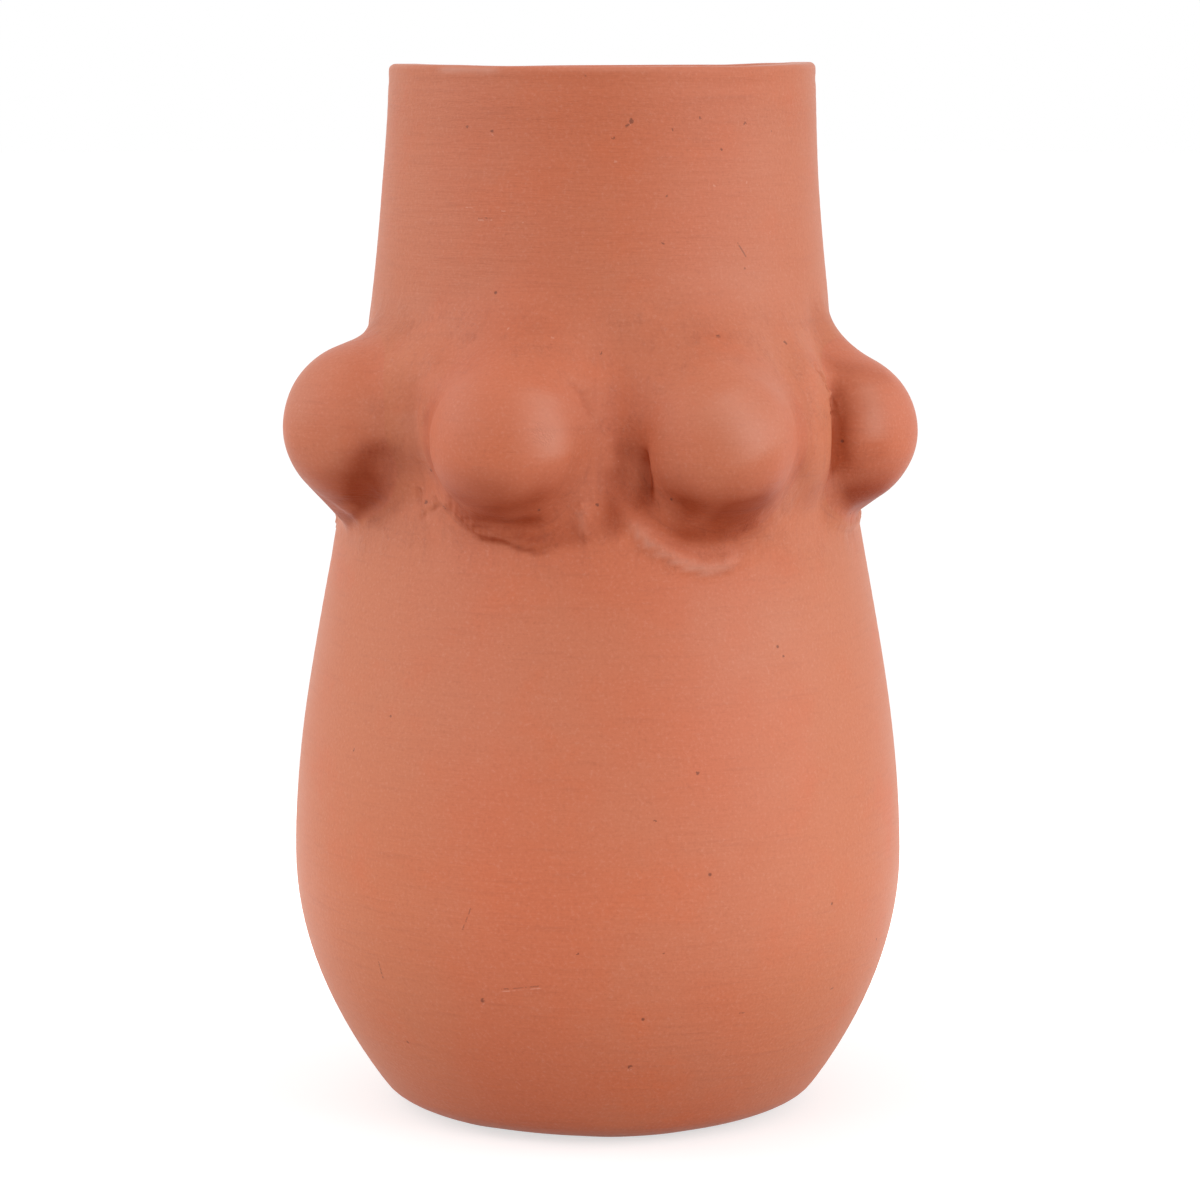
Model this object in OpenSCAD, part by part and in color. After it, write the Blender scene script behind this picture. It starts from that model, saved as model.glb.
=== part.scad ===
// Hand-built terracotta vase: a slab floor, a thrown belly, a thrown neck, and a
// ring of clay balls luted round the shoulder, each with a smeared clay collar.
// Millimetres, +Z up, origin at the centre of the foot. The front faces -Y.

/* [Outline] */
// Height of the vase, from the table to the rim
vase_h = 220; // [210:1:235]
// Outer radius of the rim
rim_r = 44.4; // [42:0.2:48]
// Inward lean of the wall at the rim, radius per height
rim_lean = 0.03; // [0:0.01:0.08]
// Outer radius of the wall behind the ring of balls
belt_r = 51.3; // [50:0.1:55]
// Inward lean of the wall behind the ring of balls, radius per height
belt_lean = 0.15; // [0.08:0.01:0.2]
// Height of the widest part of the belly
belly_z = 54; // [46:1:64]
// Outer radius at the widest part of the belly
belly_r = 64.4; // [60:0.2:68]
// Outward lean of the wall where it leaves the foot, radius per height
foot_lean = 0.7; // [0.5:0.05:0.9]
// Outer radius of the slab's upper edge
foot_r = 47; // [43:0.5:51]
// Height of the slab's upper edge
foot_z = 5; // [4:0.5:7]
// Radius of the flat that stands on the table
base_r = 30; // [26:0.5:36]

/* [Walls] */
// Thickness of the thrown wall, square to its face
wall_t = 6; // [5:0.25:8]
// Thickness of the slab floor at its middle
floor_t = 8; // [7.5:0.25:11]
// Radius of the rounded edges of the lip
lip_round = 1.8; // [1:0.1:2.4]

/* [Balls] */
// Number of balls in the ring
ball_count = 8; // [6:1:8]
// Height of the ball centres
belt_z = 146; // [136:1:150]
// Radius of a ball
ball_r = 16.4; // [14:0.2:17]
// How far a ball's centre stands outside the wall
ball_standoff = 1.8; // [0.5:0.1:3]
// Turn of the whole ring, from balls placed evenly about the front
belt_turn = 3.25; // [-10:0.25:10]

/* [Collars] */
// Rise of a smeared collar up its ball, from the wall
collar_rise = 8.6; // [6:0.2:10]
// Flare of a collar's face, from the line of its ball's axis
collar_flare = 25; // [15:1:30]
// Thickness of a collar's upper edge on the ball
collar_edge = 0.3; // [0.2:0.05:0.6]
// Gap between neighbouring collars
collar_gap = 0.6; // [0.3:0.1:2]

/* [Joints] */
// Depth of the seat that each ball is pressed into
seat_depth = 1.5; // [0.8:0.1:2.5]
// Height of the stepped lap between belly and neck
lap_h = 5; // [3:0.5:8]
// Height of the neck's seam above the collars
seam_rise = 1; // [0.5:0.25:5]
// Slip in the sides of each joint
slip_film = 0.3; // [0.1:0.05:0.5]

/* [Finish] */
// Greatest height of one step of the wall's outline
outline_step = 5; // [3:0.5:8]
// Steps in each rounded edge
arc_steps = 6; // [4:1:10]

/* [Hidden] */
$fn = 180;
clay = [0.80, 0.45, 0.35];
smeared_clay = [0.76, 0.41, 0.31];
overshoot = 1;

// Stations of the outline, each [height, radius, slope].
foot = [foot_z, foot_r, foot_lean];
belly = [belly_z, belly_r, 0];
belt = [belt_z, belt_r, -belt_lean];
rim = [vase_h, rim_r, -rim_lean];

ball_orbit = belt_r + ball_standoff;
ball_pitch = 360 / ball_count;
ball_angles = [for (i = [0 : ball_count - 1]) belt_turn - 90 + ball_pitch * (i + 0.5)];

// A collar is turned about its ball's axis: its heights run out from the ball's centre.
// Its reach is where its face meets the leaning wall above the ball.
collar_top = collar_rise - ball_standoff;
collar_top_r = sqrt(ball_r ^ 2 - collar_top ^ 2) + collar_edge;
collar_reach = (collar_top_r + collar_rise * tan(collar_flare)) / (1 - belt_lean * tan(collar_flare));
collar_root = -(ball_standoff + wall_t);
collar_root_r = collar_top_r + (collar_top - collar_root) * tan(collar_flare);
collar_bore_r = collar_top_r - wall_t / 2;

seam_z = belt_z + collar_reach + seam_rise;
lap_z = seam_z - lap_h;
lap_r = outer_r(seam_z) - wall_t / 2;
boss_r = inner_r(floor_t) - slip_film;

BALLS = [for (i = [1 : ball_count]) str("ball_", i)];
COLLARS = [for (i = [1 : ball_count]) str("collar_", i)];

// A cubic that leaves a with slope da and reaches b with slope db, for t from 0 to 1.
function cubic(t, a, da, b, db) =
    a * (2 * t ^ 3 - 3 * t ^ 2 + 1) + da * (t ^ 3 - 2 * t ^ 2 + t)
    + b * (3 * t ^ 2 - 2 * t ^ 3) + db * (t ^ 3 - t ^ 2);

// The same between two stations of the outline.
function between(z, low, high) =
    let (rise = high[0] - low[0])
    cubic((z - low[0]) / rise, low[1], low[2] * rise, high[1], high[2] * rise);

// The rounded edge of the slab: level at the table, and along the wall's lean at the top.
function foot_edge_r(z) =
    let (t = sqrt(z / foot_z))
    (1 - t) ^ 2 * base_r + 2 * t * (1 - t) * (foot_r - foot_lean * foot_z) + t ^ 2 * foot_r;

function outer_r(z) =
    z < foot_z ? foot_edge_r(z)
    : z < belly_z ? between(z, foot, belly)
    : z < belt_z ? between(z, belly, belt)
    : between(z, belt, rim);

function outer_slope(z) = (outer_r(z + 0.05) - outer_r(z - 0.05)) / 0.1;

function inner_r(z) = outer_r(z) - wall_t * sqrt(1 + outer_slope(z) ^ 2);

// Heights from low to high in even steps, none over outline_step.
function heights(low, high) =
    let (steps = ceil((high - low) / outline_step))
    [for (i = [0 : steps]) low + (high - low) * i / steps];

function reversed(list) = [for (i = [len(list) - 1 : -1 : 0]) list[i]];

function arc(centre, r, from, to) =
    [for (i = [0 : arc_steps])
        let (a = from + (to - from) * i / arc_steps)
        centre + r * [cos(a), sin(a)]];

// Everything inside the wall's outer face, taken in by inset, between two heights.
module vessel_core(low, high, inset = 0) {
    rotate_extrude()
        polygon(concat(
            [[0, low]],
            [for (z = heights(low, high)) [outer_r(z) - inset, z]],
            [[0, high]]));
}

module belt_core(inset = 0) {
    half_h = collar_root_r + overshoot;
    vessel_core(belt_z - half_h, belt_z + half_h, inset);
}

// Stands things at a ball's centre with their axis pointing out from the vase.
module at_ball(i) {
    rotate(ball_angles[i - 1])
        translate([ball_orbit, 0, belt_z])
            rotate([0, 90, 0])
                children();
}

// A ball flattened where it is pressed into the wall. The seat is this shape with room for slip.
module pressed_ball(i, slip = 0) {
    difference() {
        at_ball(i) sphere(ball_r + slip);
        belt_core(seat_depth);
    }
}

// The floor: a slab with a rounded edge, and a low boss that locates the wall.
module floor_slab() {
    edge_steps = 2 * arc_steps;
    edge = [for (i = [0 : edge_steps]) foot_z * (i / edge_steps) ^ 2];
    color(clay)
        rotate_extrude()
            polygon(concat(
                [[0, 0]],
                [for (z = edge) [foot_edge_r(z), z]],
                [[boss_r, foot_z], [boss_r, floor_t], [0, floor_t]]));
}

// The thrown belly: it stands on the slab, and a step at its top takes the neck.
module belly_wall() {
    outside = [for (z = heights(foot_z, seam_z)) [outer_r(z), z]];
    step = [[lap_r, seam_z], [lap_r, lap_z]];
    inside = [for (z = reversed(heights(floor_t, lap_z))) [inner_r(z), z]];
    color(clay)
        difference() {
            rotate_extrude()
                polygon(concat(outside, step, inside, [[inner_r(floor_t), foot_z]]));
            for (i = [1 : ball_count]) pressed_ball(i, slip_film);
        }
}

// The thrown neck: a tongue below it fits the belly's step, and its lip is rounded.
module neck_wall() {
    lip_z = vase_h - lip_round;
    outside = [for (z = heights(seam_z, lip_z)) [outer_r(z), z]];
    outer_lip = arc([outer_r(lip_z) - lip_round, lip_z], lip_round, 0, 90);
    inner_lip = arc([inner_r(lip_z) + lip_round, lip_z], lip_round, 90, 180);
    inside = [for (z = reversed(heights(lap_z, lip_z))) [inner_r(z), z]];
    tongue = [[lap_r - slip_film, lap_z], [lap_r - slip_film, seam_z]];
    // The lip's arcs already hold the wall's top points.
    color(clay)
        rotate_extrude()
            polygon(concat(
                [for (i = [0 : len(outside) - 2]) outside[i]], outer_lip, inner_lip,
                [for (i = [1 : len(inside) - 1]) inside[i]], tongue));
}

module ball(i) {
    color(clay) pressed_ball(i);
}

// A ball's share of the belt: a wedge that stops half a gap short of its neighbours.
module belt_share(i) {
    tip = collar_gap / 2 / sin(ball_pitch / 2);
    reach = ball_orbit + ball_r + overshoot;
    half_w = (reach - tip) * tan(ball_pitch / 2);
    rotate(ball_angles[i - 1])
        translate([0, 0, belt_z - collar_root_r - overshoot])
            linear_extrude(2 * (collar_root_r + overshoot))
                polygon([[tip, 0], [reach, -half_w], [reach, half_w]]);
}

// Clay smeared from the wall up a ball: a flare cut to the ball, the wall and the ball's share.
module collar(i) {
    color(smeared_clay)
        difference() {
            intersection() {
                at_ball(i)
                    rotate_extrude()
                        polygon([
                            [collar_bore_r, collar_top], [collar_top_r, collar_top],
                            [collar_root_r, collar_root], [collar_bore_r, collar_root]]);
                belt_share(i);
            }
            at_ball(i) sphere(ball_r);
            belt_core();
        }
}

floor_slab();
belly_wall();
neck_wall();
for (i = [1 : ball_count]) {
    ball(i);
    collar(i);
}
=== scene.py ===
import math

import bpy
import numpy as np
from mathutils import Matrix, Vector


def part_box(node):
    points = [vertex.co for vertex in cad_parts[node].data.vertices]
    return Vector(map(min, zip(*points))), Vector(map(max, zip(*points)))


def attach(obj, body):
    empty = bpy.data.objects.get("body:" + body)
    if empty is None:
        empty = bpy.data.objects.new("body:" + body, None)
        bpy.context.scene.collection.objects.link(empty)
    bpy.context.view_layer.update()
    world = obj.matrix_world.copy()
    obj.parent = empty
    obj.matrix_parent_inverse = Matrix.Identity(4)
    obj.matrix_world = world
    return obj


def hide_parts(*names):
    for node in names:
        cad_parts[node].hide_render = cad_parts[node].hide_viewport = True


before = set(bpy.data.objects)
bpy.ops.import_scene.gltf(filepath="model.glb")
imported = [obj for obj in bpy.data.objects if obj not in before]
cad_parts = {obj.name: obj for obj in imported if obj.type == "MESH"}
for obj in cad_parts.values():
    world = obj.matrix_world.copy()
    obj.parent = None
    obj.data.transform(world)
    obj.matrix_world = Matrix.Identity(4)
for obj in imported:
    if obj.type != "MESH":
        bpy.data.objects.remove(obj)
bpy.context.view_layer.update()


# The pot's outline, in mm. Stations are height, radius and slope, close to those of the solids.
outline = {
    "foot": (5.0, 46.4, 0.73),
    "belly": (54.0, 64.4, 0.0),
    "belt": (146.0, 51.3, -0.15),
    "rim": (220.0, 44.4, -0.03),
    "baseR": 31.0,
    "wallT": 6.0,
    "floorT": 8.0,
    "lipRound": 1.3,
    "lean": [  # drift of the axis to the right, by height
        (0, -0.2), (60, -0.5), (120, -0.3), (170, 0.05), (195, 0.15), (210, 0.4), (220, 0.45)],
    "footLift": [  # how far the edge of the foot clears the table, by angle from the front
        (-60, 0), (-40, 0.05), (-28, 0.25), (-8, 0.2), (6, 0), (16, 0), (30, 0.2), (62, 0.3), (85, 0.1),
        (180, 0.4), (270, 0.1)],
    "footLiftFrom": (27, 39),  # radii over which that lift comes in, and heights over which it goes out
    "footLiftTo": (0, 9),
    "rimDip": [  # how far the rim rises or dips, by angle from the front
        (0, -0.5), (35, -0.38), (70, 0.05), (90, 0.3), (115, 0.1), (145, -0.42), (180, -0.62), (225, -0.75),
        (260, -0.3), (285, 0.0), (310, -0.05), (335, -0.35)],
}

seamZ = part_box("belly_wall")[1][2] * 1000
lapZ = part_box("neck_wall")[0][2] * 1000
footZ, footR, footLean = outline["foot"]
rimZ = outline["rim"][0]
wallT, floorT, lipRound = outline["wallT"], outline["floorT"], outline["lipRound"]


def cubicBetween(z, low, high):  # a smooth run between two stations of the outline
    rise = high[0] - low[0]
    t = (z - low[0]) / rise
    return (low[1] * (2 * t**3 - 3 * t**2 + 1) + low[2] * rise * (t**3 - 2 * t**2 + t)
            + high[1] * (3 * t**2 - 2 * t**3) + high[2] * rise * (t**3 - t**2))


def footEdgeR(z):  # the rounded edge of the slab
    t = np.sqrt(np.clip(z / footZ, 0, 1))
    bend = footR - footLean * footZ
    return (1 - t)**2 * outline["baseR"] + 2 * t * (1 - t) * bend + t**2 * footR


def outerR(z):  # the wall's outer radius at a height
    z = np.asarray(z, float)
    foot, belly, belt, rim = (outline[station] for station in ("foot", "belly", "belt", "rim"))
    low = np.where(z < belly[0], cubicBetween(z, foot, belly), cubicBetween(z, belly, belt))
    high = np.where(z < belt[0], low, cubicBetween(z, belt, rim))
    return np.where(z < footZ, footEdgeR(z), high)


def innerR(z):  # the wall is as thick everywhere, square to its face
    half = 0.05
    slope = (outerR(z + half) - outerR(z - half)) / (2 * half)
    return outerR(z) - wallT * np.sqrt(1 + slope**2)


def smooth01(t):
    t = np.clip(t, 0, 1)
    return t * t * (3 - 2 * t)


def rising(value, low, high):  # 0 below low, 1 above high
    return smooth01((value - low) / (high - low))


def falling(value, low, high):  # 1 below low, 0 above high
    return smooth01((high - value) / (high - low))


def wrapped(angle):
    return np.mod(angle + 180, 360) - 180


def softField(points, size, seed, waves=14):  # smooth bumps of about this size, mostly within -1 and 1
    dice = np.random.default_rng(seed)
    total = np.zeros(points.shape[:-1])
    for _ in range(waves):
        way = dice.normal(size=3)
        way *= 2 * math.pi / (size * dice.uniform(1.4, 3.0)) / np.linalg.norm(way)
        total += np.sin(points @ way + dice.uniform(0, 2 * math.pi))
    return total / math.sqrt(waves)


def roundTrip(table, angle):  # a smooth closed curve through (angle, value) pairs
    angles, values = np.array(table, float).T
    order = np.argsort(angles)
    angles, values = angles[order], values[order]
    angles = np.concatenate([angles[-1:] - 360, angles, angles[:1] + 360])
    values = np.concatenate([values[-1:], values, values[:1]])
    angle = np.mod(angle - angles[0], 360) + angles[0]
    k = np.clip(np.searchsorted(angles, angle, side="right") - 1, 0, len(angles) - 2)
    t = smooth01((angle - angles[k]) / (angles[k + 1] - angles[k]))
    return values[k] * (1 - t) + values[k + 1] * t


def axisDrift(z):
    return np.interp(z, *np.array(outline["lean"], float).T)


def onPot(angle, r, z):  # angle in degrees from the front, to the right
    a = np.radians(angle)
    return np.stack(np.broadcast_arrays(r * np.sin(a) + axisDrift(z), -r * np.cos(a), z), -1)


def fromPot(points):
    x, y = points[..., 0] - axisDrift(points[..., 2]), points[..., 1]
    return np.degrees(np.arctan2(x, -y)), np.hypot(x, y)


# The ring of balls. Each ball: angle from the front, height, radius of its ring and its own radius. Then by
# the clock round it (0 right, 90 up) the flare of its collar, and how softly that meets the wall.
ballRing = {
    "ball_1": {
        "angle": 26.1, "z": 145.7, "orbit": 53.0, "r": 15.9,
        "flare": [(0, 29), (45, 30), (90, 30), (135, 24), (160, 16), (180, 12), (210, 12), (240, 24),
                  (270, 30), (300, 30), (330, 28)],
        "soft": [(0, 13), (45, 13), (90, 12), (135, 10), (160, 7), (180, 5), (195, 4), (215, 6), (240, 9),
                 (270, 10), (300, 10), (330, 11)],
    },
    "ball_2": {
        "angle": 71.5, "z": 145.0, "orbit": 52.0, "r": 16.4,
        "flare": [(0, 20), (45, 23), (90, 26), (120, 21), (135, 14), (180, 0), (225, 20), (255, 28),
                  (285, 38), (310, 24)],
        "soft": [(0, 4), (45, 6), (90, 9), (120, 6), (150, 3.4), (180, 2.4), (215, 4), (240, 6), (265, 4),
                 (285, 1.8), (310, 3)],
    },
    "ball_3": {
        "angle": 115.2, "z": 144.2, "orbit": 52.8, "r": 15.6,
        "flare": [(0, 12), (45, 18), (90, 12), (135, 14), (180, 16), (225, 26), (255, 34), (285, 32),
                  (320, 20)],
        "soft": [(0, 4), (45, 7), (90, 5), (135, 5), (180, 4), (225, 3), (255, 2), (285, 2), (320, 5)],
    },
    "ball_4": {
        "angle": 161.2, "z": 145.4, "orbit": 52.9, "r": 16.5,
        "flare": [(0, 10), (45, 24), (90, 28), (135, 22), (180, 16), (215, 14), (250, 30), (285, 34),
                  (320, 20)],
        "soft": [(0, 4), (45, 8), (90, 9), (135, 8), (180, 5), (215, 3), (250, 2.4), (285, 3), (320, 5)],
    },
    "ball_5": {
        "angle": 205.3, "z": 146.4, "orbit": 53.1, "r": 16.0,
        "flare": [(0, 16), (45, 22), (90, 26), (135, 20), (180, 10), (210, 12), (245, 28), (280, 36),
                  (320, 26)],
        "soft": [(0, 8), (45, 9), (90, 9), (135, 7), (180, 3), (210, 3), (245, 4), (280, 2.4), (320, 5)],
    },
    "ball_6": {
        "angle": 250.9, "z": 144.2, "orbit": 52.8, "r": 15.6,
        "flare": [(0, 16), (45, 16), (90, 10), (135, 14), (180, 8), (225, 18), (255, 32), (285, 30),
                  (320, 18)],
        "soft": [(0, 6), (45, 7), (90, 5), (135, 5), (180, 3), (225, 3), (255, 2), (285, 2.4), (320, 5)],
    },
    "ball_7": {
        "angle": 295.6, "z": 146.6, "orbit": 53.4, "r": 16.9,
        "flare": [(0, 10), (45, 21), (90, 19), (135, 18), (180, 18), (225, 36), (255, 46), (272, 36),
                  (296, 10), (330, 6)],
        "soft": [(0, 10), (45, 10), (90, 7), (135, 5), (180, 4), (225, 3), (255, 2), (280, 2.4), (300, 4),
                 (330, 7)],
    },
    "ball_8": {
        "angle": 340.4, "z": 145.9, "orbit": 53.1, "r": 15.8,
        "flare": [(0, 14), (45, 24), (90, 30), (135, 26), (180, 14), (225, 24), (250, 34), (270, 36),
                  (295, 34), (318, 24), (340, 17)],
        "soft": [(0, 9), (45, 10), (90, 11), (135, 10), (180, 7), (215, 4), (240, 3.2), (270, 3.6),
                 (295, 4), (318, 6), (340, 8)],
    },
}
ballNames = sorted(ballRing)
swellReach = {"turn": 50, "rise": 40}  # beyond this a ball leaves the wall alone, in degrees and mm

# Clay pressed against the wall between the balls: angle, height, half width, half height and lift, in mm.
webs = [
    (51.0, 148.0, 9.8, 15.0, 6.4), (-42.5, 152.5, 9.5, 13.0, 5.0), (3.0, 152.0, 6.0, 9.0, 1.4),
    (0.0, 131.0, 7.0, 6.0, 1.2), (93.0, 147.0, 7.0, 12.0, 2.0), (138.0, 146.0, 8.0, 13.0, 3.0),
    (183.0, 147.0, 7.0, 12.0, 1.6), (228.0, 145.0, 8.0, 14.0, 3.4), (273.0, 147.0, 7.0, 12.0, 2.2),
]

# Lips, creases and tool marks in the belt, each along a path of (angle, height): width to its left, width to
# its right, rise, grit. Widths and rises are in mm, left is left on a walk along the path, grit is a share.
strokes = [
    ([(4.6, 132.0), (6.2, 130.0), (10.6, 125.6), (16.8, 122.0), (21.8, 120.3), (26.0, 120.5),
      (31.0, 122.6)], 2.2, 0.8, 1.2, 0.08),
    ([(25.5, 120.5), (30.5, 122.0), (36.0, 125.5), (41.0, 131.0)], 2.0, 1.2, 0.5, 0.2),
    ([(10.5, 130.5), (15.5, 126.8), (22.0, 124.8), (29.0, 126.0), (35.0, 129.5)], 2.4, 2.4, -0.7, 0.0),
    ([(-38.5, 134.8), (-34.8, 133.3), (-30.2, 130.1), (-25.0, 127.3), (-19.8, 126.9), (-17.0, 125.7),
      (-12.8, 124.8), (-9.6, 125.5), (-4.0, 126.5)], 3.4, 0.55, 1.1, 0.12),
    ([(-3.5, 135.0), (-3.2, 126.5)], 1.2, 1.2, 0.5, 0.4),
    ([(-7.0, 158.4), (-4.0, 155.8), (-1.4, 150.6)], 0.8, 0.6, -0.45, 0.5),
    ([(-39.2, 154.0), (-38.4, 147.0), (-38.0, 141.0), (-36.6, 134.0)], 1.6, 1.0, 0.4, 0.0),
    ([(55.0, 129.6), (60.0, 127.2), (66.0, 125.6), (75.0, 125.2), (90.0, 126.2),
      (104.0, 128.0)], 2.6, 1.0, 0.8, 0.08),
    ([(51.6, 160.4), (54.0, 157.2), (55.2, 153.0), (54.6, 148.0)], 1.3, 1.0, -0.35, 1.4),
    ([(-42.8, 135.4), (-42.3, 131.2)], 0.5, 0.5, -0.5, 0.6),
    ([(-38.6, 133.4), (-37.0, 131.9)], 0.7, 0.7, 0.5, 0.8),
    ([(21.0, 166.4), (30.8, 166.2)], 0.7, 0.5, -0.3, 0.9),
    ([(-38.0, 165.2), (-27.5, 165.7)], 0.8, 0.5, -0.25, 0.6),
    ([(-42.0, 132.6), (-40.5, 130.0), (-36.4, 131.6)], 0.7, 0.7, -0.4, 0.9),
]

# The back isn't seen, so the balls there take the marks of a front ball.
echoes = {
    "reach": 20,  # only paths this near the front ball are copied, in degrees
    "top": 162,   # and only those that stay below this height
    "of": {       # the front ball, and whether its marks are mirrored
        "ball_3": ("ball_8", True),
        "ball_4": ("ball_8", False),
        "ball_5": ("ball_1", False),
        "ball_6": ("ball_1", True),
    },
}


def withEchoes(table):  # the table's paths, and their copies round the back balls
    found = list(table)
    for path, *rest in table:
        middle = path[len(path) // 2][0]
        for name, (source, mirrored) in echoes["of"].items():
            ball, front = ballRing[name], ballRing[source]
            far = abs(wrapped(middle - front["angle"])) > echoes["reach"]
            if far or max(z for _, z in path) > echoes["top"]:
                continue
            turns = [wrapped(a - front["angle"]) * (-1 if mirrored else 1) for a, _ in path]
            up = ball["z"] - front["z"]
            copy = [(float(ball["angle"] + turn), z + up) for turn, (_, z) in zip(turns, path)]
            found.append((copy[::-1] if mirrored else copy, *rest))
    return found


belt = {
    "step": 0.25,          # grid of the relief, in degrees and mm
    "low": 108.0,
    "high": 180.0,
    "webDegree": 0.895,    # mm to a degree on the wall
    "strokeDegree": 0.92,  # and on the collars
    "strokeStep": 0.3,     # spacing of points along a stroke, in mm
    "strokeTaper": 0.16,   # share of a stroke's length over which it fades in and out
    "gritSize": 0.8,
    "gritSeed": 77,
    "gritGain": 1.4,
}
pathReach = 2.6  # a path has faded out at this many widths


def walk(stops, step, fewest=0):  # points along a path of two numbers each
    run = np.concatenate([[0], np.cumsum(np.hypot(*np.diff(stops, axis=0).T))])
    at = np.linspace(0, run[-1], max(int(run[-1] / step), fewest))
    return np.stack([np.interp(at, run, stops[:, 0]), np.interp(at, run, stops[:, 1])], 1)


def sideWidth(side, left, right):  # a path's width, changing softly from its left to its right
    return left + (right - left) * smooth01(0.5 - side / (left + right))


def taper(ends, share):
    return smooth01(ends / share) * smooth01((1 - ends) / share)


def strokeLift(turn, height, path, left, right, rise, grit):  # one stroke on the unrolled belt
    stops = np.array(path, float) * [belt["strokeDegree"], 1.0]
    line = walk(stops, belt["strokeStep"], fewest=5)
    u = wrapped(turn - path[0][0]) * belt["strokeDegree"] + stops[0, 0]
    reach = pathReach * max(left, right)
    low, high = line.min(0) - reach, line.max(0) + reach
    near = (u > low[0]) & (u < high[0]) & (height > low[1]) & (height < high[1])
    spots = np.stack([u[near], height[near]], 1)
    gaps = np.linalg.norm(spots[:, None] - line[None], axis=2)
    k = gaps.argmin(1)
    way = np.gradient(line, axis=0)
    side = way[k, 0] * (spots - line[k])[:, 1] - way[k, 1] * (spots - line[k])[:, 0]
    side /= np.hypot(*way.T)[k]
    width = sideWidth(side, left, right)
    fade = taper(k / (len(line) - 1), belt["strokeTaper"])
    flat = np.stack([spots[:, 0], spots[:, 1], spots[:, 0] * 0], 1)
    bits = softField(flat, belt["gritSize"], belt["gritSeed"])
    lift = np.zeros(turn.shape)
    lift[near] = rise * fade * np.exp(-(gaps.min(1) / width)**2) * (1 + grit * belt["gritGain"] * bits)
    return lift


def beltRelief():
    turns = np.arange(0, 360, belt["step"])
    turn, height = np.meshgrid(turns, np.arange(belt["low"], belt["high"], belt["step"]), indexing="ij")
    total = np.zeros(turn.shape)
    for at, z, wide, high, rise in webs:
        across = wrapped(turn - at) * belt["webDegree"] / wide
        total += rise * np.exp(-(across**2 + ((height - z) / high)**2)**2)
    for stroke in withEchoes(strokes):
        total += strokeLift(turn, height, *stroke)
    return total


print("drawing the belt's relief")
relief = beltRelief()


def reliefAt(angle, z):
    i = np.mod(angle, 360) / belt["step"]
    j = np.clip((z - belt["low"]) / belt["step"], 0, relief.shape[1] - 1.001)
    i0, j0 = np.floor(i).astype(int), np.floor(j).astype(int)
    u, v = i - i0, j - j0
    i0, i1 = i0 % relief.shape[0], (i0 + 1) % relief.shape[0]
    return ((relief[i0, j0] * (1 - u) + relief[i1, j0] * u) * (1 - v)
            + (relief[i0, j0 + 1] * (1 - u) + relief[i1, j0 + 1] * u) * v)


def ballAxes(ball):  # a ball's centre, the way out of the pot there, and the way to its right
    a = math.radians(ball["angle"])
    out = np.array([math.sin(a), -math.cos(a), 0.0])
    side = np.array([math.cos(a), math.sin(a), 0.0])
    return onPot(ball["angle"], ball["orbit"], ball["z"]), out, side


def ballSwell(points, wallGap, ball):  # how far a ball and its collar lift the clay from the wall
    centre, out, side = ballAxes(ball)
    d = points - centre
    h, s, v = d @ out, d @ side, d[..., 2]
    rho = np.hypot(s, v)
    clock = np.degrees(np.arctan2(v, s))
    flare = np.radians(roundTrip(ball["flare"], clock))
    soft = roundTrip(ball["soft"], clock)
    c, n = np.cos(flare), np.sin(flare)
    skirt = np.where(h * c - rho * n > 0, np.hypot(rho, h), rho * c + h * n) - ball["r"]
    mix = np.clip(soft - np.abs(wallGap - skirt), 0, None) / soft
    return np.clip(wallGap - (np.minimum(wallGap, skirt) - mix * mix * soft / 4), 0, None)


def clayGap(points):  # under 0 inside the clay, 0 on its outer face
    angle, r = fromPot(points)
    gap = r - outerR(points[..., 2]) - reliefAt(angle, points[..., 2])
    lift = np.zeros(gap.shape)
    for ball in ballRing.values():
        near = np.abs(wrapped(angle - ball["angle"])) < swellReach["turn"]
        near &= np.abs(points[..., 2] - ball["z"]) < swellReach["rise"]
        if near.any():
            lift[near] += ballSwell(points[near], gap[near], ball)**3
    return gap - np.cbrt(lift)


def outTo(starts, ways, low, high):  # where each ray from inside the clay leaves it
    halvings, rounds = 9, 13
    low, high = (np.broadcast_to(end, starts.shape[:-1]).astype(float) for end in (low, high))
    gapLow, gapHigh = np.full(low.shape, -1.0), np.full(low.shape, 1.0)
    for k in range(rounds):
        straight = gapLow / (gapLow - gapHigh)
        share = np.full(low.shape, 0.5) if k < halvings else np.clip(straight, 0.02, 0.98)
        mid = low + (high - low) * share
        gap = clayGap(starts + ways * mid[..., None])
        outside = gap > 0
        low, gapLow = np.where(outside, low, mid), np.where(outside, gapLow, gap)
        high, gapHigh = np.where(outside, mid, high), np.where(outside, gap, gapHigh)
    share = np.clip(gapLow / (gapLow - gapHigh), 0, 1)
    return starts + ways * (low + (high - low) * share)[..., None]


def clayAt(angle, z):  # the clay's outer face at an angle and a height
    depth, reach = 2.0, 24
    angle, z = np.broadcast_arrays(np.asarray(angle, float), np.asarray(z, float))
    a = np.radians(angle)
    ways = np.stack([np.sin(a), -np.cos(a), np.zeros(a.shape)], -1)
    return outTo(onPot(angle, outerR(z) - depth, z), ways, 0, reach)


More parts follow.
